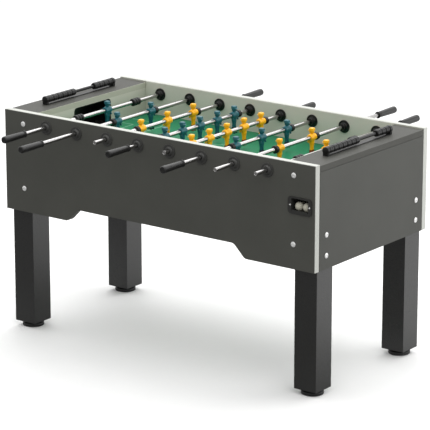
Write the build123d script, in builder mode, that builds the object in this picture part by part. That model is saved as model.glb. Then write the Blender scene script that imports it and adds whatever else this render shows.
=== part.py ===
from build123d import *
import os

os.makedirs("parts", exist_ok=True)

# A foosball table. X runs along the table, Y across it (the front is -Y), Z is up, in millimetres.
# The origin is on the floor under the middle of the playing field.

# Cabinet
table_length = 1472
table_width = 740
rim_z = 888
panel_bottom_z = 489
waist_z = 540
waist_corner_x = 423.5
waist_bend_radius = 25
side_thickness = 30
trim_thickness = 1.5
trim_width = 25
liner_thickness = 3
end_thickness = 18
cover_thickness = 22
cover_recess = 5
seam_height = 1.2

# Playing field and goals
field_length = 1200
field_width = 680
field_z = 756
field_thickness = 8
goal_half_width = 111
goal_top_z = 856
goal_corner_radius = 14
goal_depth = 87
goal_wall_thickness = 18
goal_wall_bottom_z = 600
pocket_wall = 3
pocket_slope = 10
drop_hole_size = 45
notch_height = 20

# Battens, corner blocks and ball chutes
batten_size = 20
block_width = 32
block_depth = 60
block_height = 90
chute_width = 46
chute_wall = 2.5
chute_rim = 12
chute_high_z = 723
chute_low_z = 709

# Ball outlets
outlet_x = 671
outlet_z = 732
outlet_width = 75
outlet_height = 49
cup_flange_z = 731
cup_flange_width = 105
cup_flange_height = 64
cup_flange_depth = 4
cup_depth = 52
cup_wall = 3
cup_lip = 5
cup_flange_corner_radius = 14
cup_screw_offset = 42.5
cup_screw_radius = 2
cup_screw_head_radius = 4
cup_corner_radius = 6
ball_radius = 17
ball_shift = 3

# Rods, players, stops and grips
rod_z = 843
rod_pitch = 150
rod_radius = 8
tube_wall = 2
torso_width = 36
torso_depth = 25
head_top = 37
neck_rise = 15
shoulder_rise = 9
hip_drop = 16
knee_drop = 46
foot_drop = 72.5
head_radius = 10
peak_rise = 27
player_screw_radius = 1.8
player_screw_head_radius = 3.4
player_screw_recess = 2
small_screw_height = 1.8
stop_radius = 15
stop_length = 16
keeper_stop_near = 156
keeper_stop_length = 42
grip_length = 122
grip_radius = 14
grip_floor = 8
tail_spare = 3

# Rod bearings
flange_radius = 27
flange_thickness = 4
nut_radius = 25
nut_thickness = 5
barrel_radius = 15
nose_radius = 13.5
sleeve_radius = 11
collar_y = 380
mouth_y = 320
lip = 2

# Legs, feet and bolts
leg_size = 98
leg_inset = 9
leg_top_z = 660
leg_bottom_z = 22
foot_radius = 42.5
foot_neck_radius = 16
stem_radius = 6
stem_length = 50
bolt_inset = 94
side_bolt_zs = (840.5, 582.6)
end_bolt_zs = (618, 540)
end_bolt_inset = 74
bolt_radius = 4
bolt_length = 60
bolt_head_radius = 10.4
bolt_head_height = 4

# Goal counters
counter_z = 903
counter_half_length = 212
counter_base_width = 18
counter_base_thickness = 3
post_length = 14
bead_pitch = 28
bead_radius = 14
bead_gap = 0.6
rail_radius = 6

# Fits: a running fit, a press fit, the room around a bolt and the room between neighbouring pieces
run_gap = 0.05
press_gap = 0.02
bolt_gap = 0.2
part_gap = 0.4

half_length = table_length / 2
half_width = table_width / 2
field_half_length = field_length / 2
field_half_width = field_width / 2
core_half_length = half_length - trim_thickness
core_top_z = rim_z - trim_thickness
cover_top_z = rim_z - cover_recess
cover_bottom_z = cover_top_z - cover_thickness
cover_inner_x = field_half_length + trim_thickness
seam_z = cover_bottom_z - seam_height
end_inner_x = half_length - end_thickness
board_bottom_z = field_z - field_thickness
leg_inner_x = half_length - leg_inset - leg_size
leg_mid_x = leg_inner_x + leg_size / 2
leg_mid_y = field_half_width - leg_size / 2
bolt_x = half_length - bolt_inset
end_bolt_y = half_width - end_bolt_inset
counter_x = (field_half_length + half_length) / 2
bolt_hole_radius = bolt_radius + bolt_gap
bearing_hole_radius = barrel_radius + bolt_gap
bore_radius = sleeve_radius + run_gap
rod_xs = [(number - 3.5) * rod_pitch for number in range(8)]

# Every rod from left to right: its name, how many players it carries, how far apart they stand, where
# the middle of their row is, the side of the grip and how far out the grip ends.
RODS = [
    ("rod_1", 1, 0, 0, -1, 617),
    ("rod_2", 2, 210, -18, -1, 692),
    ("rod_3", 3, 164, 3, 1, 621),
    ("rod_4", 5, 110, 14, -1, 548),
    ("rod_5", 5, 110, -13, 1, 563),
    ("rod_6", 3, 164, 6, -1, 604),
    ("rod_7", 2, 210, 18.5, 1, 692),
    ("rod_8", 1, 0, 2, 1, 626),
]

STANDING = (Align.CENTER, Align.CENTER, Align.MIN)
HANGING = (Align.CENTER, Align.CENTER, Align.MAX)


def save(piece, name):
    """Labels one finished piece and writes it to its own file."""
    piece.part.label = name
    export_step(piece.part, f"parts/{name}.step")


def facing(side, y):
    """The upright plane at that distance from the middle. Side -1 is the front, +1 the back."""
    return Plane.XZ.offset(-side * y)


def along_y(x):
    """A level plane through the rod axis at x, for outlines that turn round that axis."""
    return Plane(origin=(x, 0, rod_z), x_dir=(1, 0, 0), z_dir=(0, 0, 1))


def turn_round_rod(x, side, outline):
    """Turns an outline of (distance from the axis, distance from the middle) points round a rod."""
    with BuildSketch(along_y(x)) as section:
        with BuildLine():
            Polyline([(radius, side * y) for radius, y in outline], close=True)
        make_face()
    revolve(section.sketch, axis=Axis((x, 0, rod_z), (0, 1, 0)))


# Side panels with their light linings and the edge trims


def build_side_panel(name, side):
    """A side panel with its raised waist, the recess for the lining and all its holes."""
    waist_inner_x = waist_corner_x - (waist_z - panel_bottom_z)
    with BuildPart() as panel:
        with BuildSketch(facing(side, half_width)):
            with BuildLine():
                Polyline(
                    (-core_half_length, panel_bottom_z),
                    (-waist_corner_x, panel_bottom_z),
                    (-waist_inner_x, waist_z),
                    (waist_inner_x, waist_z),
                    (waist_corner_x, panel_bottom_z),
                    (core_half_length, panel_bottom_z),
                    (core_half_length, core_top_z),
                    (-core_half_length, core_top_z),
                    close=True,
                )
            make_face()
            bends = vertices().filter_by_position(Axis.X, -waist_corner_x - 1, waist_corner_x + 1)
            fillet(bends, waist_bend_radius)
            with Locations([(x, rod_z) for x in rod_xs]):
                Circle(bearing_hole_radius, mode=Mode.SUBTRACT)
            with Locations([(end * bolt_x, z) for end in (-1, 1) for z in side_bolt_zs]):
                Circle(bolt_hole_radius, mode=Mode.SUBTRACT)
            with Locations((-side * outlet_x, outlet_z)):
                Rectangle(
                    outlet_width + 2 * cup_wall + 2 * part_gap,
                    outlet_height + 2 * cup_wall + 2 * part_gap,
                    mode=Mode.SUBTRACT,
                )
        extrude(amount=side * side_thickness)
        with BuildSketch(facing(side, field_half_width)):
            with Locations((0, (field_z + core_top_z) / 2)):
                Rectangle(field_length, core_top_z - field_z)
        extrude(amount=-side * liner_thickness, mode=Mode.SUBTRACT)
    save(panel, name)


build_side_panel("front_side_panel", -1)
build_side_panel("back_side_panel", 1)

with BuildPart() as liners:
    for side in (-1, 1):
        with BuildSketch(facing(side, field_half_width)):
            with Locations((0, (field_z + core_top_z) / 2)):
                Rectangle(field_length, core_top_z - field_z)
            with Locations([(x, rod_z) for x in rod_xs]):
                Circle(bearing_hole_radius, mode=Mode.SUBTRACT)
        extrude(amount=-side * liner_thickness)
save(liners, "side_wall_liners")

with BuildPart() as trims:
    trim_y = half_width - side_thickness / 2
    with Locations([(0, side * trim_y, rim_z) for side in (-1, 1)]):
        Box(table_length, trim_width, trim_thickness, align=HANGING)
    for end in (-1, 1):
        trim_x = end * (half_length - trim_thickness / 2)
        with Locations([(trim_x, side * trim_y, panel_bottom_z) for side in (-1, 1)]):
            Box(trim_thickness, trim_width, core_top_z - panel_bottom_z - bolt_gap, align=STANDING)
        with Locations((end * (field_half_length + trim_thickness / 2), 0, cover_bottom_z)):
            Box(trim_thickness, field_width, cover_thickness, align=STANDING)
save(trims, "edge_trims")

# Ends: outer panels, top covers, goal walls and goal pockets

with BuildPart() as end_panels:
    for end in (-1, 1):
        with BuildSketch(Plane.YZ.offset(end * half_length)):
            with Locations((0, panel_bottom_z)):
                Rectangle(field_width, seam_z - panel_bottom_z, align=(Align.CENTER, Align.MIN))
            with Locations([(side * end_bolt_y, z) for side in (-1, 1) for z in end_bolt_zs]):
                Circle(bolt_hole_radius, mode=Mode.SUBTRACT)
        extrude(amount=-end * end_thickness)
save(end_panels, "end_panels")


with BuildPart() as covers:
    with Locations([(end * (cover_inner_x + half_length) / 2, 0, cover_bottom_z) for end in (-1, 1)]):
        Box(half_length - cover_inner_x, field_width, cover_thickness, align=STANDING)
save(covers, "top_covers")

pocket_floor_z = field_z - 2
pocket_bottom_z = pocket_floor_z - pocket_slope - pocket_wall


def goal_outline(grow):
    """The goal mouth with rounded upper corners, widened and raised by the thickness of its shell."""
    height = goal_top_z + grow - pocket_bottom_z
    with BuildSketch() as mouth:
        with Locations((0, pocket_bottom_z)):
            Rectangle(2 * (goal_half_width + grow), height, align=(Align.CENTER, Align.MIN))
        fillet(vertices().group_by(Axis.Y)[-1], goal_corner_radius + grow)
    return mouth.sketch


goal_opening = goal_outline(0)
goal_shell = goal_outline(pocket_wall)


def build_goal_wall(name, end):
    """The light wall behind one goal line, with the goal mouth cut through it."""
    with BuildPart() as wall:
        with BuildSketch(Plane.YZ.offset(end * field_half_length)):
            with Locations((0, (goal_wall_bottom_z + cover_bottom_z) / 2)):
                Rectangle(field_width, cover_bottom_z - goal_wall_bottom_z)
            add(goal_shell, mode=Mode.SUBTRACT)
        extrude(amount=end * goal_wall_thickness)
    save(wall, name)


build_goal_wall("left_goal_wall", -1)
build_goal_wall("right_goal_wall", 1)

# The floor of each pocket slopes away from the goal line to the hole where a scored ball drops. A low
# notch in the side wall lets the ball roll on towards its outlet.
drop_x = field_half_length + goal_depth - drop_hole_size / 2 - 3
drop_y = goal_half_width - drop_hole_size / 2 - 3
with BuildPart() as pockets:
    for end in (-1, 1):
        mouth_x = end * field_half_length
        back_x = end * (field_half_length + goal_depth)
        with BuildSketch(Plane.YZ.offset(mouth_x)):
            add(goal_shell)
        extrude(amount=end * (goal_depth + pocket_wall))
        with BuildSketch(Plane.YZ.offset(mouth_x)):
            add(goal_opening)
            with Locations((0, pocket_bottom_z)):
                Rectangle(
                    field_width,
                    pocket_floor_z - pocket_bottom_z,
                    align=(Align.CENTER, Align.MIN),
                    mode=Mode.SUBTRACT,
                )
        extrude(amount=end * goal_depth, mode=Mode.SUBTRACT)
        with BuildSketch(Plane.XZ):
            with BuildLine():
                Polyline(
                    (mouth_x, pocket_floor_z),
                    (back_x, pocket_floor_z - pocket_slope),
                    (back_x, pocket_floor_z),
                    close=True,
                )
            make_face()
        extrude(amount=goal_half_width, both=True, mode=Mode.SUBTRACT)
        with Locations((end * drop_x, -end * drop_y, pocket_bottom_z)):
            Box(drop_hole_size, drop_hole_size, goal_depth, mode=Mode.SUBTRACT)
        with Locations((end * drop_x, -end * goal_half_width, pocket_bottom_z)):
            Box(drop_hole_size, drop_hole_size, 2 * notch_height, mode=Mode.SUBTRACT)
save(pockets, "goal_pockets")

# Playing field and the battens and blocks that hold the cabinet together

with BuildPart() as playfield:
    with Locations((0, 0, board_bottom_z)):
        Box(field_length, field_width, field_thickness, align=STANDING)
save(playfield, "playfield")

with BuildPart() as battens:
    ledge_y = field_half_width - batten_size / 2
    with Locations([(0, side * ledge_y, board_bottom_z) for side in (-1, 1)]):
        Box(field_length - 2 * batten_size, batten_size, batten_size, align=HANGING)
    with Locations([(x, 0, board_bottom_z) for x in (-2 * rod_pitch, 0, 2 * rod_pitch)]):
        Box(
            2 * batten_size,
            field_width - 2 * batten_size - part_gap,
            batten_size,
            align=HANGING,
        )
    block_y = field_half_width - block_depth / 2
    with Locations([(end * bolt_x, side * block_y, cover_bottom_z) for end in (-1, 1) for side in (-1, 1)]):
        Box(block_width, block_depth, block_height, align=HANGING)
    for side in (-1, 1):
        with BuildSketch(facing(side, half_width)):
            with Locations([(end * bolt_x, side_bolt_zs[0]) for end in (-1, 1)]):
                Circle(bolt_hole_radius)
        extrude(amount=side * (bolt_length + batten_size / 2), mode=Mode.SUBTRACT)
save(battens, "support_battens")

# A trough under each goal pocket slopes down to the outlet: at the front on the right end and at the
# back on the left end.
chute_near_y = drop_y - chute_width / 2 - chute_wall
chute_far_y = half_width - cup_depth - 1
with BuildPart() as chutes:
    for end in (-1, 1):
        for width, drop, height, mode in (
            (chute_width, chute_wall, chute_rim, Mode.ADD),
            (chute_width - 2 * chute_wall, 0, 2 * chute_rim, Mode.SUBTRACT),
        ):
            with BuildSketch(Plane.YZ.offset(end * drop_x)):
                with BuildLine():
                    Polyline(
                        (-end * chute_near_y, chute_high_z - drop),
                        (-end * chute_near_y, chute_high_z + height),
                        (-end * chute_far_y, chute_low_z + height),
                        (-end * chute_far_y, chute_low_z - drop),
                        close=True,
                    )
                make_face()
            extrude(amount=width / 2, both=True, mode=mode)
save(chutes, "ball_chutes")

cup_screw_shifts = (-cup_screw_offset, cup_screw_offset)
with BuildPart() as cups:
    for side in (-1, 1):
        mouth = (-side * outlet_x, outlet_z)
        face_y = half_width + cup_flange_depth
        with BuildSketch(facing(side, half_width)):
            with Locations((-side * outlet_x, cup_flange_z)):
                RectangleRounded(cup_flange_width, cup_flange_height, cup_flange_corner_radius)
        extrude(amount=-side * cup_flange_depth)
        with BuildSketch(facing(side, half_width)):
            with Locations(mouth):
                RectangleRounded(
                    outlet_width + 2 * cup_wall,
                    outlet_height + 2 * cup_wall,
                    cup_corner_radius + cup_wall,
                )
        extrude(amount=side * cup_depth)
        with BuildSketch(facing(side, face_y)):
            with Locations(mouth):
                RectangleRounded(outlet_width, outlet_height, cup_corner_radius)
        extrude(amount=side * (cup_depth + cup_flange_depth), mode=Mode.SUBTRACT)
        with BuildSketch(facing(side, face_y)):
            with Locations((mouth[0], outlet_z - outlet_height / 2)):
                Rectangle(outlet_width - 8, cup_lip, align=(Align.CENTER, Align.MIN))
        extrude(amount=side * cup_flange_depth)
        with BuildSketch(facing(side, face_y)):
            with Locations([(mouth[0] + shift, cup_flange_z) for shift in cup_screw_shifts]):
                Circle(cup_screw_radius + bolt_gap)
        extrude(amount=side * cup_flange_depth, mode=Mode.SUBTRACT)
save(cups, "ball_cups")

ball_spacing = ball_radius + bolt_gap
ball_y = half_width - ball_radius - 1
ball_z = outlet_z - outlet_height / 2 + ball_radius + part_gap
for name, shift in (("left_ball", ball_shift - ball_spacing), ("right_ball", ball_shift + ball_spacing)):
    with BuildPart() as ball:
        with Locations((outlet_x + shift, -ball_y, ball_z)):
            Sphere(ball_radius)
    save(ball, name)

# Legs and levelling feet

with BuildPart() as legs:
    for end in (-1, 1):
        for side in (-1, 1):
            with BuildSketch(Plane.XY.offset(leg_bottom_z)):
                with Locations((end * leg_mid_x, side * leg_mid_y)):
                    Rectangle(leg_size, leg_size)
            extrude(amount=panel_bottom_z - leg_bottom_z)
            with BuildSketch(Plane.XY.offset(panel_bottom_z)):
                with Locations((end * (leg_inner_x + end_inner_x) / 2, side * leg_mid_y)):
                    Rectangle(end_inner_x - leg_inner_x, leg_size)
            extrude(amount=leg_top_z - panel_bottom_z)
            with BuildSketch(Plane.XY.offset(leg_bottom_z)):
                with Locations((end * leg_mid_x, side * leg_mid_y)):
                    Circle(stem_radius + run_gap)
            extrude(amount=stem_length + 10, mode=Mode.SUBTRACT)
            with BuildSketch(facing(side, half_width)):
                with Locations((end * bolt_x, side_bolt_zs[1])):
                    Circle(bolt_hole_radius)
            extrude(amount=side * (bolt_length + 5), mode=Mode.SUBTRACT)
            with BuildSketch(Plane.YZ.offset(end * half_length)):
                with Locations([(side * end_bolt_y, z) for z in end_bolt_zs]):
                    Circle(bolt_hole_radius)
            extrude(amount=-end * (bolt_length + 5), mode=Mode.SUBTRACT)
save(legs, "legs")

foot_neck_z = leg_bottom_z - part_gap
for name, end, side in (
    ("front_left_foot", -1, -1),
    ("front_right_foot", 1, -1),
    ("back_left_foot", -1, 1),
    ("back_right_foot", 1, 1),
):
    foot_centre = (end * leg_mid_x, side * leg_mid_y, 0)
    with BuildPart() as foot:
        with BuildSketch(Plane(origin=foot_centre, x_dir=(1, 0, 0), z_dir=(0, -1, 0))):
            with BuildLine():
                Polyline(
                    (0, 0),
                    (foot_radius - 2, 0),
                    (foot_radius, 2),
                    (foot_radius, 11),
                    (foot_radius - 3, 14),
                    (foot_neck_radius, 16),
                    (foot_neck_radius, foot_neck_z),
                    (stem_radius, foot_neck_z),
                    (stem_radius, leg_bottom_z + stem_length),
                    (0, leg_bottom_z + stem_length),
                    close=True,
                )
            make_face()
        revolve(axis=Axis(foot_centre, (0, 0, 1)))
    save(foot, name)

# Bolts through the panels into the legs and corner blocks, and the screws of the two ball cups


def build_screw(origin, outward, shank, length, head, height):
    """A screw with a low bevelled head and a hexagonal socket, its head standing on the given point."""
    base = Plane(origin=origin, z_dir=outward)
    profile = Plane(origin=base.origin, x_dir=base.x_dir, z_dir=base.x_dir.cross(base.z_dir))
    with BuildSketch(profile) as section:
        with BuildLine():
            Polyline(
                (0, -length),
                (shank, -length),
                (shank, 0),
                (head, 0),
                (head, height * 0.3),
                (head * 0.7, height),
                (0, height),
                close=True,
            )
        make_face()
    revolve(section.sketch, axis=Axis(origin, outward))
    with BuildSketch(base.offset(height)) as socket:
        RegularPolygon(head * 0.32, 6)
    extrude(socket.sketch, amount=-height * 0.6, mode=Mode.SUBTRACT)


with BuildPart() as bolts:
    for end in (-1, 1):
        for side in (-1, 1):
            for z in side_bolt_zs:
                build_screw(
                    (end * bolt_x, side * half_width, z),
                    (0, side, 0),
                    bolt_radius,
                    bolt_length,
                    bolt_head_radius,
                    bolt_head_height,
                )
            for z in end_bolt_zs:
                build_screw(
                    (end * half_length, side * end_bolt_y, z),
                    (end, 0, 0),
                    bolt_radius,
                    bolt_length,
                    bolt_head_radius,
                    bolt_head_height,
                )
    for side in (-1, 1):
        for shift in cup_screw_shifts:
            build_screw(
                (-side * outlet_x + shift, side * (half_width + cup_flange_depth), cup_flange_z),
                (0, side, 0),
                cup_screw_radius,
                cup_flange_depth,
                cup_screw_head_radius,
                small_screw_height,
            )
save(bolts, "bolts_and_screws")

# Goal counters: a moulded base with two posts, a rail between them and ten beads in two groups

with BuildPart() as counter_frames:
    rail_length = 2 * counter_half_length - post_length / 2
    for end in (-1, 1):
        with Locations((end * counter_x, 0, cover_top_z)):
            Box(counter_base_width, 2 * counter_half_length, counter_base_thickness, align=STANDING)
        for side in (-1, 1):
            with BuildSketch(facing(side, counter_half_length)):
                with Locations((end * counter_x, counter_z)):
                    Circle(bead_radius)
                with Locations((end * counter_x, cover_top_z)):
                    Rectangle(1.6 * bead_radius, counter_z - cover_top_z, align=(Align.CENTER, Align.MIN))
            extrude(amount=side * post_length)
        with Locations((end * counter_x, 0, counter_z)):
            Cylinder(rail_radius + press_gap, rail_length, rotation=(90, 0, 0), mode=Mode.SUBTRACT)
            Cylinder(rail_radius, rail_length - bolt_gap, rotation=(90, 0, 0))
save(counter_frames, "counter_frames")

for name, end, side, count in (
    ("left_counter_front_beads", -1, -1, 6),
    ("left_counter_back_beads", -1, 1, 4),
    ("right_counter_front_beads", 1, -1, 7),
    ("right_counter_back_beads", 1, 1, 3),
):
    with BuildPart() as beads:
        for number in range(count):
            outer_y = counter_half_length - post_length - number * bead_pitch - bead_gap / 2
            with BuildSketch(facing(side, outer_y)):
                with Locations((end * counter_x, counter_z)):
                    Circle(bead_radius)
            extrude(amount=side * (bead_pitch - bead_gap))
        fillet(beads.edges().filter_by(GeomType.CIRCLE), 3)
        for number in range(count):
            outer_y = counter_half_length - post_length - number * bead_pitch
            with BuildSketch(facing(side, outer_y)):
                with Locations((end * counter_x, counter_z)):
                    Circle(rail_radius + run_gap)
            extrude(amount=side * bead_pitch, mode=Mode.SUBTRACT)
    save(beads, name)

# Rod bearings: a housing through the side panel, a nut with a nose on the inside, and a sleeve that
# turns between their lips while the rod slides through it.
lip_radius = rod_radius + 1
nut_face_y = field_half_width - nut_thickness
housing_outline = [
    (bore_radius, field_half_width),
    (barrel_radius, field_half_width),
    (barrel_radius, half_width),
    (flange_radius, half_width),
    (flange_radius, half_width + flange_thickness - 1.5),
    (flange_radius - 1.5, half_width + flange_thickness),
    (barrel_radius + 1.5, half_width + flange_thickness),
    (barrel_radius, collar_y - 1),
    (barrel_radius - 1, collar_y),
    (lip_radius, collar_y),
    (lip_radius, collar_y - lip),
    (bore_radius, collar_y - lip),
]
nut_outline = [
    (bore_radius, field_half_width),
    (nut_radius, field_half_width),
    (nut_radius, nut_face_y + 1.5),
    (nut_radius - 1.5, nut_face_y),
    (nose_radius + 1.5, nut_face_y),
    (nose_radius, mouth_y + 1),
    (nose_radius - 1, mouth_y),
    (lip_radius, mouth_y),
    (lip_radius, mouth_y + lip),
    (bore_radius, mouth_y + lip),
]
sleeve_outline = [
    (rod_radius + run_gap, mouth_y + lip + part_gap),
    (sleeve_radius, mouth_y + lip + part_gap),
    (sleeve_radius, collar_y - lip - part_gap),
    (rod_radius + run_gap, collar_y - lip - part_gap),
]

for name, outline in (("bearing_housings", housing_outline), ("bearing_nuts", nut_outline)):
    with BuildPart() as bearings:
        for x in rod_xs:
            for side in (-1, 1):
                turn_round_rod(x, side, outline)
    save(bearings, name)

# Rods with everything that moves with them


def build_sleeves(name, x):
    """The two plastic sleeves that turn in this rod's bearings."""
    with BuildPart() as sleeves:
        for side in (-1, 1):
            turn_round_rod(x, side, sleeve_outline)
    save(sleeves, name)


def build_tube_and_screws(name, x, ends, places, ahead):
    """The steel tube between its two ends and one screw in the back of every player."""
    with BuildPart() as tube:
        with BuildSketch(Plane(origin=(x, max(ends), rod_z), x_dir=(1, 0, 0), z_dir=(0, -1, 0))):
            Circle(rod_radius)
        extrude(amount=max(ends) - min(ends))
        chamfer(tube.edges().filter_by(GeomType.CIRCLE), 1)
        with BuildSketch(Plane(origin=(x, max(ends), rod_z), x_dir=(1, 0, 0), z_dir=(0, -1, 0))):
            Circle(rod_radius - tube_wall)
        extrude(amount=max(ends) - min(ends), mode=Mode.SUBTRACT)
        for y in places:
            build_screw(
                (x - ahead * (torso_depth / 2 - player_screw_recess), y, rod_z),
                (-ahead, 0, 0),
                player_screw_radius,
                player_screw_recess,
                player_screw_head_radius,
                small_screw_height,
            )
    save(tube, name)


def tapered(x, y, z_low, size_low, radius_low, z_high, size_high, radius_high):
    """A limb between two level rounded rectangles, each given as its (x, y) size and corner radius."""
    with BuildSketch(Plane.XY.offset(z_low)) as low:
        with Locations((x, y)):
            RectangleRounded(*size_low, radius_low)
    with BuildSketch(Plane.XY.offset(z_high)) as high:
        with Locations((x, y)):
            RectangleRounded(*size_high, radius_high)
    loft([low.sketch.face(), high.sketch.face()])


def build_players(name, x, places, ahead):
    """The players of one rod. They look to the right with ahead +1 and to the left with ahead -1."""
    hip_z = rod_z - hip_drop
    shoulder_z = rod_z + shoulder_rise
    neck_z = rod_z + neck_rise
    knee_z = rod_z - knee_drop
    sole_z = rod_z - foot_drop
    hip_size = (20, 30)
    torso_size = (torso_depth, torso_width)
    with BuildPart() as players:
        for y in places:
            with Locations((x, y, rod_z)):
                Cylinder(stop_radius - 1, torso_width, rotation=(90, 0, 0))
            tapered(x, y, hip_z, hip_size, 7, shoulder_z, torso_size, 8)
            tapered(x, y, shoulder_z, torso_size, 8, neck_z, (14, 20), 6)
            tapered(x, y, knee_z, (11, 18), 4, hip_z, hip_size, 7)
            with Locations((x, y, neck_z)):
                Cylinder(head_radius, head_top - neck_rise, align=STANDING)
            crown = players.edges().filter_by(GeomType.CIRCLE).group_by(Axis.Z)[-1].sort_by(Axis.Y)[-1]
            fillet(crown, 5)
            with Locations((x + ahead * 8, y, rod_z + peak_rise)):
                Box(13, 15, 2.5)
            for foot in (-1, 1):
                with BuildSketch(Plane.XY.offset(sole_z)):
                    with Locations((x + ahead * 1.5, y + foot * 7)):
                        RectangleRounded(18, 11, 4)
                with BuildSketch(Plane.XY.offset(knee_z)):
                    with Locations((x, y + foot * 4.5)):
                        RectangleRounded(11, 9, 4)
                loft()
        for y in places:
            with Locations((x, y, rod_z)):
                Cylinder(rod_radius + press_gap, torso_width + 2, rotation=(90, 0, 0), mode=Mode.SUBTRACT)
            with BuildSketch(Plane.YZ.offset(x - ahead * torso_depth / 2)):
                with Locations((y, rod_z)):
                    Circle(player_screw_head_radius + bolt_gap)
            extrude(amount=ahead * player_screw_recess, mode=Mode.SUBTRACT)
            with BuildSketch(Plane.YZ.offset(x - ahead * torso_depth / 2)):
                with Locations((y, rod_z)):
                    Circle(player_screw_radius + bolt_gap)
            extrude(amount=ahead * (torso_depth / 2 - rod_radius), mode=Mode.SUBTRACT)
    save(players, name)


def build_grip_and_stops(name, x, grip_side, grip_end, places):
    """The grip on the rod's outer end and the two rubber stops that meet the bearing noses."""
    bore = rod_radius + press_gap
    inner_y = grip_end - grip_length
    grip_outline = [
        (bore, inner_y),
        (grip_radius - 0.5, inner_y),
        (grip_radius - 0.5, inner_y + 6),
        (10.5, inner_y + 7.5),
        (10.5, inner_y + 11),
        (12.3, inner_y + 13),
        (grip_radius, grip_end - 50),
        (grip_radius, grip_end - 3),
        (grip_radius - 3, grip_end),
        (0, grip_end),
        (0, grip_end - grip_floor),
        (bore, grip_end - grip_floor),
    ]
    with BuildPart() as fittings:
        turn_round_rod(x, grip_side, grip_outline)
        for side in (-1, 1):
            outermost = max(side * place for place in places)
            if len(places) == 1:
                near_y = outermost + keeper_stop_near
                far_y = near_y + keeper_stop_length
            else:
                near_y = outermost + torso_width / 2 + press_gap
                far_y = outermost + torso_width / 2 + stop_length
            stop_outline = [
                (bore, near_y),
                (stop_radius - 1, near_y),
                (stop_radius, near_y + 1),
                (stop_radius, far_y - 1),
                (stop_radius - 1, far_y),
                (bore, far_y),
            ]
            turn_round_rod(x, side, stop_outline)
    save(fittings, name)


for (name, count, spacing, middle, grip_side, grip_end), x in zip(RODS, rod_xs):
    places = [middle + spacing * (number - (count - 1) / 2) for number in range(count)]
    stop_reach = keeper_stop_near + keeper_stop_length if count == 1 else torso_width / 2 + stop_length
    pull = mouth_y - stop_reach - max(grip_side * place for place in places)
    tail_end = mouth_y + pull + tail_spare
    ends = (grip_side * (grip_end - grip_floor - 1), -grip_side * tail_end)
    build_sleeves(f"{name}_sleeves", x)
    build_tube_and_screws(f"{name}_tube_and_screws", x, ends, places, -grip_side)
    build_players(f"{name}_players", x, places, -grip_side)
    build_grip_and_stops(f"{name}_grip_and_stops", x, grip_side, grip_end, places)
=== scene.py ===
import math

import bmesh
import bpy
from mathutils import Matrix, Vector


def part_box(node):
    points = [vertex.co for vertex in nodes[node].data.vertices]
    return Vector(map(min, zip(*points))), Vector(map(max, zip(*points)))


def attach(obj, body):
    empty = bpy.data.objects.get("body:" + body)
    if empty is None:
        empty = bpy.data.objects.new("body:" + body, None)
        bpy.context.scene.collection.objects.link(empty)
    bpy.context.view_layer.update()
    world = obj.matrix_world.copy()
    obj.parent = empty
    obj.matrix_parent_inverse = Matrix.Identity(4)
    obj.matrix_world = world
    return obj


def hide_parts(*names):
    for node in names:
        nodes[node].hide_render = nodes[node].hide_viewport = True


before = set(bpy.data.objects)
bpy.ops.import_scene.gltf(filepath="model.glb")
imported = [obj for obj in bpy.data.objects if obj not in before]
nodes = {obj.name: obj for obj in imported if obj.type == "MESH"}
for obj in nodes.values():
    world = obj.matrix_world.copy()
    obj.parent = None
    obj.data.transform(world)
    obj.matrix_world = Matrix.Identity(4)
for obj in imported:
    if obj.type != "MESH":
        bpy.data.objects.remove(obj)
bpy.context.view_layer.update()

# Everything is in metres, in the part's own frame. Rod bodies are rod_1 to rod_8, from left to right.
ROD_Z = 0.843
ROD_PITCH = 0.150
ROD_RADIUS = 0.008
FIELD_Z = 0.756
HALF_FIELD = 0.600
INNER_FACE_Y = 0.3405
COVER_TOP_Z = 0.883
TEAL_RODS = (1, 2, 4, 6)
ROD_XS = {number: (number - 4.5) * ROD_PITCH for number in range(1, 9)}
ROUND = 48

# The span of a noise node's values that the materials use, and how deep the finest relief is
NOISE_LOW = 0.3
NOISE_HIGH = 0.7
RELIEF_DEPTH = 0.0004


# Materials: each one is a principled shader with its own fine grain, wear and bump


def add_node(tree, kind, sockets=None, **settings):
    """Adds a node, feeds its sockets with values or with other nodes' outputs, and returns its outputs."""
    made = tree.nodes.new(f"ShaderNode{kind}")
    for name, value in settings.items():
        setattr(made, name, value)
    for socket, value in (sockets or {}).items():
        if isinstance(value, bpy.types.NodeSocket):
            tree.links.new(value, made.inputs[socket])
        else:
            made.inputs[socket].default_value = value
    return made.outputs


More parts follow.
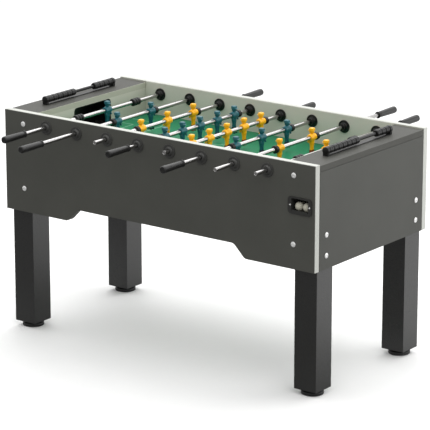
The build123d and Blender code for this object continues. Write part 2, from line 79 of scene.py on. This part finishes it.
def material(
    name, colour, roughness, grain, bump=0.05, vary=0.12, metallic=0.0, bevel=0.0, streak=(1, 1, 1), shine=0.5
):
    """A procedural surface. grain is the noise scale and streak stretches that noise along an axis."""
    made = bpy.data.materials.new(name)
    made.use_nodes = True
    tree = made.node_tree
    shader = tree.nodes["Principled BSDF"]
    shader.inputs["Metallic"].default_value = metallic
    shader.inputs["Specular IOR Level"].default_value = shine
    place = add_node(tree, "TexCoord")["Object"]
    stretched = add_node(tree, "Mapping", {"Scale": streak, "Vector": place})["Vector"]
    fine = add_node(tree, "TexNoise", {"Scale": grain, "Detail": 6, "Vector": stretched})["Fac"]
    cloud = add_node(tree, "TexNoise", {"Scale": 6, "Detail": 3, "Vector": place})["Fac"]
    half_cloud = add_node(tree, "Math", {0: cloud, 1: 0.5}, operation="MULTIPLY")[0]
    mottle = add_node(tree, "Math", {0: fine, 1: 0.5, 2: half_cloud}, operation="MULTIPLY_ADD")[0]
    ramp = tree.nodes.new("ShaderNodeValToRGB")
    dark, light = ramp.color_ramp.elements
    dark.position, light.position = NOISE_LOW, NOISE_HIGH
    dark.color = [c * (1 - vary) for c in colour] + [1]
    light.color = [min(1, c * (1 + vary)) for c in colour] + [1]
    tree.links.new(mottle, ramp.inputs["Fac"])
    tree.links.new(ramp.outputs["Color"], shader.inputs["Base Color"])
    wear = {
        "From Min": NOISE_LOW,
        "From Max": NOISE_HIGH,
        "To Min": roughness * 0.85,
        "To Max": min(1, roughness * 1.15),
        "Value": fine,
    }
    tree.links.new(add_node(tree, "MapRange", wear)["Result"], shader.inputs["Roughness"])
    relief = {"Strength": bump, "Distance": RELIEF_DEPTH, "Height": fine}
    if bevel:
        relief["Normal"] = add_node(tree, "Bevel", {"Radius": bevel}, samples=6)["Normal"]
    tree.links.new(add_node(tree, "Bump", relief)["Normal"], shader.inputs["Normal"])
    return made


dark_laminate = material(
    "dark_laminate", (0.058, 0.059, 0.052), 0.45, 420, bump=0.12, vary=0.10, bevel=0.0008, shine=0.22
)
# The same dark laminate as the end panels, made lighter as painted light: it makes up for the dimmer light
# that falls on the front and back panels.
side_laminate_painted_light = material(
    "side_laminate_painted_light", (0.079, 0.080, 0.070), 0.45, 420, bump=0.12, vary=0.10, bevel=0.0008, shine=0.30
)
cover_laminate = material(
    "cover_laminate", (0.067, 0.067, 0.060), 0.55, 420, bump=0.12, vary=0.10, bevel=0.0008, shine=0.16
)
# The same pale board as the goal walls, made lighter as painted light: it makes up for the weaker light that
# falls on the liners along the side walls.
lining_laminate_painted_light = material(
    "lining_laminate_painted_light", (0.58, 0.57, 0.50), 0.40, 420, bump=0.08, vary=0.04, bevel=0.0008, shine=0.35
)
goal_laminate = material(
    "goal_laminate", (0.46, 0.46, 0.39), 0.40, 420, bump=0.08, vary=0.04, bevel=0.0008, shine=0.35
)
pale_edging = material(
    "pale_edging", (0.50, 0.51, 0.475), 0.45, 260, bump=0.06, vary=0.05, bevel=0.0005, shine=0.3
)
green_field = material("green_field", (0.004, 0.185, 0.078), 0.36, 350, bump=0.06, vary=0.10, shine=0.18)
pitch_line = material("pitch_line", (0.26, 0.50, 0.34), 0.40, 300, bump=0.05, vary=0.08)
timber = material("timber", (0.50, 0.35, 0.20), 0.65, 60, bump=0.3, vary=0.25, streak=(0.15, 2, 2))
black_leg = material(
    "black_leg", (0.007, 0.007, 0.006), 0.30, 420, bump=0.10, vary=0.15, bevel=0.001, shine=0.75
)
foot_plastic = material("foot_plastic", (0.012, 0.012, 0.012), 0.50, 500, bump=0.15, vary=0.2, shine=0.4)
black_plastic = material("black_plastic", (0.006, 0.006, 0.006), 0.32, 500, bump=0.10, vary=0.2, shine=0.35)
housing_plastic = material(
    "housing_plastic", (0.046, 0.046, 0.043), 0.36, 500, bump=0.10, vary=0.2, shine=0.35
)
grip_rubber = material("grip_rubber", (0.010, 0.010, 0.0095), 0.40, 600, bump=0.15, vary=0.2, shine=0.35)
stop_rubber = material("stop_rubber", (0.006, 0.006, 0.006), 0.45, 600, bump=0.15, vary=0.2, shine=0.35)
bead_plastic = material("bead_plastic", (0.006, 0.006, 0.006), 0.38, 500, bump=0.12, vary=0.2, shine=0.3)
cup_plastic = material("cup_plastic", (0.030, 0.030, 0.028), 0.40, 500, bump=0.12, vary=0.2, shine=0.35)
steel_tube = material(
    "steel_tube", (0.43, 0.42, 0.415), 0.20, 300, bump=0.01, vary=0.03, metallic=1.0, streak=(6, 0.2, 6)
)
steel_bolt = material("steel_bolt", (0.82, 0.82, 0.81), 0.42, 700, bump=0.05, vary=0.08, metallic=0.35)
teal = material("teal", (0.010, 0.100, 0.125), 0.34, 500, bump=0.05, vary=0.10, shine=0.4)
teal_shoe = material("teal_shoe", (0.008, 0.022, 0.030), 0.36, 500, bump=0.05, vary=0.15, shine=0.4)
yellow = material("yellow", (0.92, 0.44, 0.004), 0.34, 500, bump=0.05, vary=0.08, shine=0.4)
yellow_shoe = material("yellow_shoe", (0.20, 0.045, 0.016), 0.36, 500, bump=0.05, vary=0.15, shine=0.4)
cream_ball = material("cream_ball", (0.50, 0.485, 0.40), 0.45, 500, bump=0.08, vary=0.05, shine=0.35)


def tint_inside(finish, colour, reach):
    """Gives another colour to what lies between the side panels and within reach of the middle along x."""
    tree = finish.node_tree
    base = tree.nodes["Principled BSDF"].inputs["Base Color"]
    split = add_node(tree, "SeparateXYZ", {0: add_node(tree, "TexCoord")["Object"]})
    near = []
    for axis, limit in (("X", reach), ("Y", INNER_FACE_Y)):
        distance = add_node(tree, "Math", {0: split[axis]}, operation="ABSOLUTE")[0]
        near.append(add_node(tree, "Math", {0: distance, 1: limit}, operation="LESS_THAN")[0])
    inside = add_node(tree, "Math", {0: near[0], 1: near[1]}, operation="MULTIPLY")[0]
    colours = {"Factor": inside, "A": base.links[0].from_socket, "B": (*colour, 1)}
    tree.links.new(add_node(tree, "Mix", colours, data_type="RGBA")["Result"], base)


# The strips along the inner edge of the end covers, and the inner faces of the side panels
tint_inside(pale_edging, (0.36, 0.37, 0.30), HALF_FIELD + 0.01)
tint_inside(side_laminate_painted_light, (0.46, 0.46, 0.39), 1.0)

NODE_MATERIALS = {
    "front_side_panel": side_laminate_painted_light,
    "back_side_panel": side_laminate_painted_light,
    "side_wall_liners": lining_laminate_painted_light,
    "edge_trims": pale_edging,
    "end_panels": dark_laminate,
    "top_covers": cover_laminate,
    "left_goal_wall": goal_laminate,
    "right_goal_wall": goal_laminate,
    "goal_pockets": black_plastic,
    "playfield": green_field,
    "support_battens": timber,
    "ball_chutes": black_plastic,
    "ball_cups": cup_plastic,
    "legs": black_leg,
}
for number in range(1, 9):
    NODE_MATERIALS[f"rod_{number}_sleeves"] = black_plastic
for node, finish in NODE_MATERIALS.items():
    mesh = nodes[node].data
    mesh.materials.clear()
    mesh.materials.append(finish)


# Shapes


class Shape:
    """Collects the shells of one piece as it is made."""

    def __init__(self, name, body, replaced, slot, finishes):
        self.name = name
        self.body = body
        self.replaced = replaced
        self.slot = slot
        self.finishes = finishes
        self.mesh = bmesh.new()

    def rings(self, loops, finish=0, closed=False):
        """Joins loops of points into a skin. A loop of one point is a tip. Open skins get end caps."""
        made = [[self.mesh.verts.new(point) for point in loop] for loop in loops]
        pairs = list(zip(made, made[1:]))
        if closed:
            pairs.append((made[-1], made[0]))
        for low, high in pairs:
            count = max(len(low), len(high))
            for i in range(count):
                j = (i + 1) % count
                if len(low) == 1:
                    corners = [low[0], high[j], high[i]]
                elif len(high) == 1:
                    corners = [low[i], low[j], high[0]]
                else:
                    corners = [low[i], low[j], high[j], high[i]]
                self.mesh.faces.new(corners).material_index = finish
        if not closed:
            for loop in (made[0], made[-1]):
                if len(loop) > 2:
                    self.mesh.faces.new(loop).material_index = finish

    def turned(self, origin, axis, profile, finish=0, closed=False, segments=ROUND, shape=None):
        """A turned shell: profile holds (radius, distance along the axis) points."""
        axis = Vector(axis).normalized()
        across = axis.orthogonal().normalized()
        third = axis.cross(across)
        loops = []
        for index, (radius, along) in enumerate(profile):
            centre = Vector(origin) + axis * along
            if radius == 0:
                loops.append([centre])
                continue
            loop = []
            for i in range(segments):
                angle = math.tau * i / segments
                grown = radius * (shape(index, angle) if shape else 1)
                loop.append(centre + across * (grown * math.cos(angle)) + third * (grown * math.sin(angle)))
            loops.append(loop)
        self.rings(loops, finish, closed)

    def limb(self, sections, finish=0, power=2.6, segments=28):
        """An upright limb through (x, y, z, half width in x, half width in y) sections."""
        loops = []
        for x, y, z, wide, deep in sections:
            loop = []
            for i in range(segments):
                angle = math.tau * i / segments
                c, s = math.cos(angle), math.sin(angle)
                loop.append(
                    Vector(
                        (
                            x + wide * math.copysign(abs(c) ** (2 / power), c),
                            y + deep * math.copysign(abs(s) ** (2 / power), s),
                            z,
                        )
                    )
                )
            loops.append(loop)
        self.rings(loops, finish)

    def block(self, low, high, bevel, finish=0):
        """A bevelled block between two corners."""
        inset = [(0, bevel), (bevel, 0)]
        loops = []
        for z, shrink in ((low[2], bevel), (low[2] + bevel, 0), (high[2] - bevel, 0), (high[2], bevel)):
            loop = []
            for sx, sy, flip in ((1, 1, False), (-1, 1, True), (-1, -1, False), (1, -1, True)):
                for dx, dy in reversed(inset) if flip else inset:
                    x = (high[0] - dx - shrink) if sx > 0 else (low[0] + dx + shrink)
                    y = (high[1] - dy - shrink) if sy > 0 else (low[1] + dy + shrink)
                    loop.append(Vector((x, y, z)))
            loops.append(loop)
        self.rings(loops, finish)

    def done(self, smooth=35):
        """Turns the shells into a piece that rides on its body."""
        bmesh.ops.recalc_face_normals(self.mesh, faces=self.mesh.faces)
        for face in self.mesh.faces:
            face.smooth = True
        data = bpy.data.meshes.new(self.name)
        self.mesh.to_mesh(data)
        self.mesh.free()
        data.set_sharp_from_angle(angle=math.radians(smooth))
        for finish in self.finishes:
            data.materials.append(finish)
        piece = bpy.data.objects.new(self.name, data)
        bpy.context.scene.collection.objects.link(piece)
        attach(piece, self.body)
        if self.replaced:
            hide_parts(*self.replaced)
        return piece


def hexagon(angle):
    """How far a hexagon's side is from its centre at an angle, its corners being at 1."""
    return math.cos(math.pi / 6) / math.cos(angle % (math.pi / 3) - math.pi / 6)


def add_screw(shape, origin, outward, radius, height, finish=0):
    """A domed screw head with a hexagonal socket."""
    socket = radius * 0.34
    dome = [(0.94, 0.05), (1.0, 0.16), (0.99, 0.32), (0.9, 0.58), (0.72, 0.82), (0.5, 0.96), (0.36, 1.0)]
    profile = [(radius * r, height * h) for r, h in dome]
    profile += [(socket, height * 0.98), (socket, height * 0.35), (0, height * 0.3)]
    first = len(dome)
    shape.turned(
        origin,
        outward,
        profile,
        finish,
        shape=lambda index, angle: hexagon(angle) if index >= first else 1,
    )


# Players


def add_player(shape, x, y, ahead):
    """One moulded player with cap, arms, legs and shoes. ahead is +1 facing right and -1 facing left."""

    def at(*sections):
        return [(x + ahead * sx, y + sy, ROD_Z + sz, wide, deep) for sx, sy, sz, wide, deep in sections]

    half_boss = [(0.0130, 0.0160), (0.0126, 0.0172), (0.0108, 0.0180)]
    boss = [(radius, -along) for radius, along in reversed(half_boss)] + half_boss
    shape.turned((x, y, ROD_Z), (0, 1, 0), boss)
    screw_seat = [(0.0074, 0.0), (0.0074, 0.0118), (0.0066, 0.0122), (0.0, 0.0122)]
    shape.turned((x, y, ROD_Z), (-ahead, 0, 0), screw_seat)
    shape.limb(
        at(
            (0, 0, -0.0200, 0.0070, 0.0092),
            (0, 0, -0.0160, 0.0088, 0.0112),
            (0, 0, -0.0080, 0.0098, 0.0116),
            (0.0002, 0, 0.0000, 0.0108, 0.0118),
            (0.0004, 0, 0.0070, 0.0108, 0.0136),
            (0.0002, 0, 0.0112, 0.0094, 0.0146),
            (0, 0, 0.0138, 0.0070, 0.0116),
            (0, 0, 0.0156, 0.0046, 0.0062),
        )
    )
    for side in (-1, 1):
        shape.limb(
            at(
                (0.0008, side * 0.0136, 0.0134, 0.0022, 0.0020),
                (0.0008, side * 0.0140, 0.0118, 0.0042, 0.0036),
                (0.0012, side * 0.0146, 0.0060, 0.0042, 0.0033),
                (0.0024, side * 0.0150, -0.0020, 0.0036, 0.0028),
                (0.0048, side * 0.0149, -0.0090, 0.0034, 0.0028),
                (0.0070, side * 0.0145, -0.0150, 0.0036, 0.0030),
                (0.0076, side * 0.0144, -0.0186, 0.0032, 0.0026),
                (0.0077, side * 0.0144, -0.0198, 0.0018, 0.0014),
            ),
            power=2.3,
        )
    shape.limb(
        at(
            (0, 0, 0.0134, 0.0062, 0.0064),
            (0.0003, 0, 0.0158, 0.0060, 0.0062),
            (0.0008, 0, 0.0170, 0.0078, 0.0076),
            (0.0010, 0, 0.0190, 0.0090, 0.0088),
            (0.0010, 0, 0.0230, 0.0094, 0.0092),
            (0.0008, 0, 0.0262, 0.0094, 0.0092),
        ),
        power=2.8,
    )
    shape.limb(
        at(
            (0.0002, 0, 0.0258, 0.0094, 0.0096),
            (0.0002, 0, 0.0264, 0.0102, 0.0106),
            (0.0000, 0, 0.0340, 0.0100, 0.0104),
            (0.0000, 0, 0.0358, 0.0094, 0.0096),
            (0.0000, 0, 0.0366, 0.0078, 0.0080),
        ),
        power=3.6,
    )
    shape.limb(
        at(
            (0.0088, 0, 0.0254, 0.0056, 0.0078),
            (0.0090, 0, 0.0260, 0.0068, 0.0090),
            (0.0088, 0, 0.0276, 0.0068, 0.0090),
            (0.0080, 0, 0.0284, 0.0056, 0.0078),
        ),
        power=2.6,
    )
    shape.limb(
        at(
            (0, 0, -0.0150, 0.0080, 0.0108),
            (0, 0, -0.0200, 0.0084, 0.0106),
            (0, 0, -0.0240, 0.0080, 0.0098),
        ),
        power=3,
    )
    for side in (-1, 1):
        shape.limb(
            at(
                (0, side * 0.0048, -0.0210, 0.0072, 0.0047),
                (0, side * 0.0045, -0.0270, 0.0068, 0.0045),
                (0, side * 0.0042, -0.0340, 0.0056, 0.0040),
                (0, side * 0.0042, -0.0390, 0.0050, 0.0037),
                (0, side * 0.0046, -0.0440, 0.0054, 0.0038),
                (0, side * 0.0052, -0.0485, 0.0046, 0.0036),
                (0, side * 0.0055, -0.0520, 0.0046, 0.0036),
            )
        )
        shape.limb(
            at(
                (0.0000, side * 0.0055, -0.0485, 0.0058, 0.0046),
                (0.0002, side * 0.0058, -0.0540, 0.0062, 0.0048),
                (0.0006, side * 0.0064, -0.0600, 0.0070, 0.0052),
                (0.0014, side * 0.0069, -0.0650, 0.0085, 0.0054),
                (0.0016, side * 0.0070, -0.0700, 0.0088, 0.0055),
                (0.0016, side * 0.0070, -0.0718, 0.0086, 0.0053),
                (0.0016, side * 0.0070, -0.0724, 0.0078, 0.0046),
            ),
            finish=1,
            power=2.8,
        )


def solid_boxes(node):
    """The lowest and highest corner of every separate solid of a CAD node, from front to back."""
    shell = bmesh.new()
    shell.from_mesh(nodes[node].data)
    bmesh.ops.remove_doubles(shell, verts=shell.verts, dist=1e-5)
    left = set(shell.verts)
    boxes = []
    while left:
        stack = [left.pop()]
        island = []
        while stack:
            vert = stack.pop()
            island.append(vert.co.copy())
            for edge in vert.link_edges:
                other = edge.other_vert(vert)
                if other in left:
                    left.remove(other)
                    stack.append(other)
        low = Vector(min(p[i] for p in island) for i in range(3))
        high = Vector(max(p[i] for p in island) for i in range(3))
        boxes.append((low, high))
    shell.free()
    return sorted(boxes, key=lambda b: (round(b[0].y + b[1].y, 4), b[0].x, b[0].z))


GRIP = [
    (0.0082, 0.0000), (0.0122, 0.0000), (0.0132, 0.0010), (0.0135, 0.0025), (0.0132, 0.0050),
    (0.0122, 0.0060), (0.0106, 0.0072), (0.0104, 0.0090), (0.0108, 0.0108), (0.0118, 0.0124),
    (0.0122, 0.0150), (0.0124, 0.0300), (0.0128, 0.0500), (0.0134, 0.0720), (0.0138, 0.0950),
    (0.0140, 0.1100), (0.0138, 0.1160), (0.0130, 0.1195), (0.0112, 0.1214), (0.0080, 0.1220),
    (0.0072, 0.1212), (0.0, 0.1210),
]


def grip_shape(index, angle):
    """Shallow flats round the long part of a grip."""
    return 1 - 0.018 * (1 + math.cos(10 * angle)) / 2 if 10 <= index <= 16 else 1


def stop_profile(near, far):
    """A rubber ring with rounded edges, or with three ribs if it is a long one."""
    bore, rim = 0.0081, 0.015
    if far - near < 0.03:
        steps = [(0.0132, 0), (0.0146, 0.0008), (rim, 0.0022)]
        steps += [(rim, far - near - 0.0022), (0.0146, far - near - 0.0008), (0.0132, far - near)]
    else:
        steps = []
        for centre in (0.0065, 0.021, 0.0355):
            steps += [(0.0112, centre - 0.0065), (0.0138, centre - 0.0058), (rim, centre - 0.004)]
            steps += [(rim, centre + 0.004), (0.0138, centre + 0.0058), (0.0112, centre + 0.0065)]
    return [(bore, near)] + [(r, near + d) for r, d in steps] + [(bore, far)]


for number in range(1, 9):
    rod = f"rod_{number}"
    x = ROD_XS[number]
    faces_right = number in TEAL_RODS
    ahead = 1 if faces_right else -1
    grip_side = -ahead

    places = [(low.y + high.y) / 2 for low, high in solid_boxes(f"{rod}_players")]
    if faces_right:
        players = Shape(f"{rod}_figures", rod, [f"{rod}_players"], "teal_player", [teal, teal_shoe])
    else:
        players = Shape(f"{rod}_figures", rod, [f"{rod}_players"], "yellow_player", [yellow, yellow_shoe])
    for y in places:
        add_player(players, x, y, ahead)
    players.done(50)

    low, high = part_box(f"{rod}_tube_and_screws")
    tip = [
        (0, 0.0006), (0.0055, 0.0006), (0.0060, 0.0), (0.0070, 0.0), (0.0078, 0.0005), (ROD_RADIUS, 0.0014),
    ]
    wall = [(radius, low[1] + inset) for radius, inset in tip]
    wall += [(radius, high[1] - inset) for radius, inset in reversed(tip)]
    tube = Shape(f"{rod}_steel", rod, [f"{rod}_tube_and_screws"], "steel_tube", [steel_tube, steel_bolt])
    tube.turned((x, 0, ROD_Z), (0, 1, 0), wall)
    for y in places:
        add_screw(tube, (x - ahead * 0.0112, y, ROD_Z), (-ahead, 0, 0), 0.0036, 0.0016, finish=1)
    tube.done()

    fittings = Shape(
        f"{rod}_grip_and_rings", rod, [f"{rod}_grip_and_stops"], "black_rubber", [grip_rubber, stop_rubber]
    )
    for low, high in solid_boxes(f"{rod}_grip_and_stops"):
        if high.y - low.y > 0.1:
            start = low.y if grip_side > 0 else high.y
            origin = (x, start, ROD_Z)
            fittings.turned(origin, (0, grip_side, 0), GRIP, segments=60, shape=grip_shape)
        else:
            fittings.turned((x, 0, ROD_Z), (0, 1, 0), stop_profile(low.y, high.y), finish=1, closed=True)
    fittings.done()

# Bearings

HOUSING = [
    (0.01105, 0.340), (0.0150, 0.340), (0.0150, 0.370), (0.0268, 0.370), (0.0270, 0.3704),
    (0.0270, 0.3722), (0.0264, 0.3734), (0.0250, 0.3740), (0.0222, 0.3740), (0.0218, 0.3736),
    (0.0180, 0.3736), (0.0172, 0.3744), (0.0160, 0.3760), (0.0153, 0.3785), (0.0146, 0.3796),
    (0.0136, 0.3800), (0.0096, 0.3800), (0.0090, 0.3794), (0.0090, 0.3780), (0.01105, 0.3780),
]
NUT = [
    (0.01105, 0.340), (0.0248, 0.340), (0.0250, 0.3396), (0.0250, 0.3370), (0.0244, 0.3356),
    (0.0228, 0.3350), (0.0205, 0.3350), (0.0200, 0.3355), (0.0166, 0.3355), (0.0158, 0.3350),
    (0.0148, 0.3338), (0.0138, 0.3300), (0.0135, 0.3215), (0.0131, 0.3204), (0.0122, 0.3200),
    (0.0096, 0.3200), (0.0090, 0.3206), (0.0090, 0.3220), (0.01105, 0.3220),
]
housings = Shape("bearing_collars", "cabinet", ["bearing_housings"], "black_plastic", [housing_plastic])
nuts = Shape("bearing_noses", "cabinet", ["bearing_nuts"], "black_plastic", [black_plastic])
for x in ROD_XS.values():
    for side in (-1, 1):
        housings.turned((x, 0, ROD_Z), (0, side, 0), HOUSING, closed=True)
        nuts.turned((x, 0, ROD_Z), (0, side, 0), NUT, closed=True)
housings.done()
nuts.done()

# Bolts and screws. Each solid of the CAD node stands on the face that its head lies against.
bolts = Shape("bolt_heads", "cabinet", ["bolts_and_screws"], "steel_bolt", [steel_bolt])
for low, high in solid_boxes("bolts_and_screws"):
    centre = (low + high) / 2
    size = high - low
    if size.x > size.y:
        outward = Vector((math.copysign(1, centre.x), 0, 0))
    else:
        outward = Vector((0, math.copysign(1, centre.y), 0))
    reach = max(outward.dot(low), outward.dot(high))
    cup_screw = max(size) < 0.02
    radius, height = size.z / 2, 0.0018 if cup_screw else 0.004
    seat = centre + outward * (reach - height - outward.dot(centre))
    add_screw(bolts, seat, outward, radius, height)
    shank = 0.002 if cup_screw else 0.004
    length = max(size) - height
    bolts.turned(seat, -outward, [(shank, -height * 0.05), (shank, length - 0.001), (shank - 0.001, length)])
bolts.done()

# Levelling feet

FOOT = [
    (0.0, 0.0), (0.0395, 0.0), (0.0415, 0.0006), (0.0425, 0.0022), (0.0425, 0.0100), (0.0418, 0.0122),
    (0.0400, 0.0136), (0.0370, 0.0142), (0.0240, 0.0154), (0.0175, 0.0164), (0.0160, 0.0178),
    (0.0160, 0.0212), (0.0156, 0.0216), (0.0060, 0.0216), (0.0060, 0.0715), (0.0055, 0.0720),
    (0.0, 0.0720),
]
for name in ("front_left_foot", "front_right_foot", "back_left_foot", "back_right_foot"):
    low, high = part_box(name)
    foot = Shape(f"{name}_disc", name, [name], "foot_plastic", [foot_plastic])
    foot.turned(((low[0] + high[0]) / 2, (low[1] + high[1]) / 2, 0), (0, 0, 1), FOOT)
    foot.done()

# Goal counters


BEAD = [
    (0.0112, 0.00), (0.0122, 0.03), (0.0132, 0.10), (0.0138, 0.22), (0.0140, 0.36), (0.0136, 0.46),
    (0.0132, 0.50), (0.0136, 0.54), (0.0140, 0.64), (0.0138, 0.78), (0.0132, 0.90), (0.0122, 0.97),
    (0.0112, 1.00),
]


def bead_profile(start, length):
    """A bead with a shallow waist round its middle and a bore."""
    ends = (0.00605, start), (0.00605, start + length)
    return [ends[0]] + [(radius, start + share * length) for radius, share in BEAD] + [ends[1]]


def bead_shape(index, angle):
    """Finger ridges along the outside of a bead."""
    return 1 - 0.035 * (1 + math.cos(12 * angle)) / 2 if 1 <= index <= len(BEAD) else 1


for name in (
    "left_counter_front_beads",
    "left_counter_back_beads",
    "right_counter_front_beads",
    "right_counter_back_beads",
):
    beads = Shape(f"{name}_ridged", name, [name], "black_plastic", [bead_plastic])
    for low, high in solid_boxes(name):
        origin = ((low.x + high.x) / 2, 0, (low.z + high.z) / 2)
        profile = bead_profile(low.y, high.y - low.y)
        beads.turned(origin, (0, 1, 0), profile, closed=True, segments=72, shape=bead_shape)
    beads.done()

COUNTER_X = 0.668
COUNTER_Z = 0.903
RAIL_RADIUS = 0.006
POST_HEAD = [
    (0.0128, 0.1980), (0.0138, 0.1988), (0.0140, 0.2000), (0.0140, 0.2096), (0.0134, 0.2112),
    (0.0120, 0.2120),
]
end_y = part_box("counter_frames")[1][1]
counters = Shape("counter_rails", "cabinet", ["counter_frames"], "black_plastic", [bead_plastic])
for end in (-1, 1):
    x = end * COUNTER_X
    base_low = (x - 0.009, -end_y + 0.002, COVER_TOP_Z)
    counters.block(base_low, (x + 0.009, end_y - 0.002, COVER_TOP_Z + 0.003), 0.0008)
    rail = [(RAIL_RADIUS, -end_y + 0.005), (RAIL_RADIUS, end_y - 0.005)]
    counters.turned((x, 0, COUNTER_Z), (0, 1, 0), rail)
    for side in (-1, 1):
        counters.turned((x, 0, COUNTER_Z), (0, side, 0), POST_HEAD)
        y_near, y_far = sorted((side * 0.1985, side * 0.2115))
        counters.block((x - 0.0112, y_near, COVER_TOP_Z), (x + 0.0112, y_far, COUNTER_Z), 0.001)
counters.done()

# Balls: a moulded sphere with a fine seam

for name in ("left_ball", "right_ball"):
    low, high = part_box(name)
    centre = [(a + b) / 2 for a, b in zip(low, high)]
    radius = (high[0] - low[0]) / 2
    steps = 24
    profile = [(0, -radius)]
    for step in range(1, steps):
        angle = -math.pi / 2 + math.pi * step / steps
        dip = 0.985 if step == steps // 2 else 1
        profile.append((radius * dip * math.cos(angle), radius * math.sin(angle)))
    profile.append((0, radius))
    ball = Shape(f"{name}_moulded", name, [name], "cream_ball", [cream_ball])
    ball.turned(centre, (0.3, 0.2, 1.0), profile)
    ball.done(60)

# Pitch markings: thin printed strips that lie on the field


def line_strip(shape, points, width, closed=False):
    """A flat strip of the given width along points on the field."""
    count = len(points)
    base, top = FIELD_Z - 0.0001, FIELD_Z + 0.0002
    loops = []
    for i, point in enumerate(points):
        before = points[(i - 1) % count] if closed or i else point
        after = points[(i + 1) % count] if closed or i < count - 1 else point
        direction = Vector((after[0] - before[0], after[1] - before[1], 0)).normalized()
        normal = Vector((-direction.y, direction.x, 0)) * (width / 2)
        middle = Vector((point[0], point[1], 0))
        loops.append(
            [
                middle - normal + Vector((0, 0, base)),
                middle + normal + Vector((0, 0, base)),
                middle + normal + Vector((0, 0, top)),
                middle - normal + Vector((0, 0, top)),
            ]
        )
    shape.rings(loops, closed=closed)


def arc_points(centre, radius, start, stop, steps=48):
    """Points on an arc between two angles in degrees."""
    angles = [math.radians(start + (stop - start) * i / steps) for i in range(steps + 1)]
    return [(centre[0] + radius * math.cos(a), centre[1] + radius * math.sin(a)) for a in angles]


LINE = 0.004
LINE_END_Y = 0.339
CIRCLE_RADIUS = 0.105
SPOT_X = 0.475
lines = Shape("pitch_markings", "cabinet", [], "green_field", [pitch_line])
line_strip(lines, [(0, -LINE_END_Y), (0, LINE_END_Y)], LINE)
line_strip(lines, arc_points((0, 0), CIRCLE_RADIUS, 0, 360)[:-1], LINE, closed=True)
for end in (-1, 1):
    for depth, reach in ((0.195, 0.225), (0.085, 0.150)):
        goal_x = end * (HALF_FIELD - 0.001)
        box_x = end * (HALF_FIELD - depth)
        line_strip(lines, [(goal_x, -reach), (box_x, -reach)], LINE)
        line_strip(lines, [(goal_x, reach), (box_x, reach)], LINE)
        line_strip(lines, [(box_x, -reach), (box_x, reach)], LINE)
    middle = 0 if end < 0 else 180
    line_strip(lines, arc_points((end * SPOT_X, 0), CIRCLE_RADIUS, middle - 40, middle + 40), LINE)
lines.done()

# Studio

HALF_FLOOR = 14
floor_mesh = bmesh.new()
floor_corners = [(sx * HALF_FLOOR, sy * HALF_FLOOR, 0) for sx, sy in ((-1, -1), (1, -1), (1, 1), (-1, 1))]
floor_mesh.faces.new([floor_mesh.verts.new(corner) for corner in floor_corners])
floor_data = bpy.data.meshes.new("studio_floor")
floor_mesh.to_mesh(floor_data)
floor_mesh.free()
floor = bpy.data.objects.new("studio_floor", floor_data)
paper = material("floor_paper", (0.90, 0.90, 0.895), 0.7, 40, bump=0.02, vary=0.01, shine=0.1)
floor_data.materials.append(paper)

# The floor returns less light to the table than the camera sees, and less in front than behind, like a
# small sheet of paper with a window behind it would.
paper_tree = paper.node_tree
paper_colour = paper_tree.nodes["Principled BSDF"].inputs["Base Color"]
paper_place = add_node(paper_tree, "SeparateXYZ", {0: add_node(paper_tree, "TexCoord")["Object"]})
returned = add_node(
    paper_tree,
    "MapRange",
    {"From Min": -0.8, "From Max": 0.6, "To Min": 0.20, "To Max": 0.66, "Value": paper_place["Y"]},
)
paper_mix = {
    "Factor": add_node(paper_tree, "LightPath")["Is Camera Ray"],
    "A": returned["Result"],
    "B": paper_colour.links[0].from_socket,
}
paper_tree.links.new(add_node(paper_tree, "Mix", paper_mix, data_type="RGBA")["Result"], paper_colour)
bpy.context.scene.collection.objects.link(floor)

# The camera sees a plain white sky. For everything else the sky is dimmer low down in front.
world = bpy.data.worlds.new("studio")
bpy.context.scene.world = world
world.use_nodes = True
sky = world.node_tree
backdrop = sky.nodes["Background"]
backdrop.inputs["Color"].default_value = (1, 1, 1, 1)
toward = add_node(sky, "SeparateXYZ", {0: add_node(sky, "TexCoord")["Generated"]})
frontness = add_node(sky, "Math", {0: toward["Y"], 1: -1.2, 2: 0.1}, operation="MULTIPLY_ADD")[0]
low_front = add_node(sky, "Math", {0: frontness, 1: toward["Z"]}, operation="SUBTRACT", use_clamp=True)[0]
dimmed = add_node(sky, "Math", {0: low_front, 1: -0.70, 2: 1.18}, operation="MULTIPLY_ADD")[0]
camera_ray = add_node(sky, "LightPath")["Is Camera Ray"]
strength = add_node(sky, "Mix", {"Factor": camera_ray, "A": dimmed, "B": 1.0})["Result"]
sky.links.new(strength, backdrop.inputs["Strength"])


def area_light(name, place, aim, size, power):
    """A soft square light that points at aim."""
    data = bpy.data.lights.new(name, "AREA")
    data.size = size
    data.energy = power
    lamp = bpy.data.objects.new(name, data)
    lamp.location = place
    lamp.rotation_mode = "QUATERNION"
    lamp.rotation_quaternion = (Vector(aim) - Vector(place)).to_track_quat("-Z", "Y")
    bpy.context.scene.collection.objects.link(lamp)


area_light("right_softbox", (3.6, 2.9, 1.3), (0.7, 0.0, 0.5), 2.6, 44)
area_light("top_softbox", (-0.6, 1.6, 4.0), (0, 0, 0.8), 4.6, 120)
area_light("fill_softbox", (3.5, -3.0, 4.5), (0, 0, 0.8), 4.0, 60)

camera_data = bpy.data.cameras.new("camera")
camera_data.sensor_width = 36
camera_data.lens = 221.2
camera_data.clip_end = 200
camera = bpy.data.objects.new("camera", camera_data)
camera.location = (5.9374, -7.8456, 3.2722)
camera.rotation_mode = "XYZ"
camera.rotation_euler = (math.radians(90 - 15.73), 0, math.radians(37.08))
bpy.context.scene.collection.objects.link(camera)
bpy.context.scene.camera = camera

bpy.context.scene.view_settings.view_transform = "Standard"
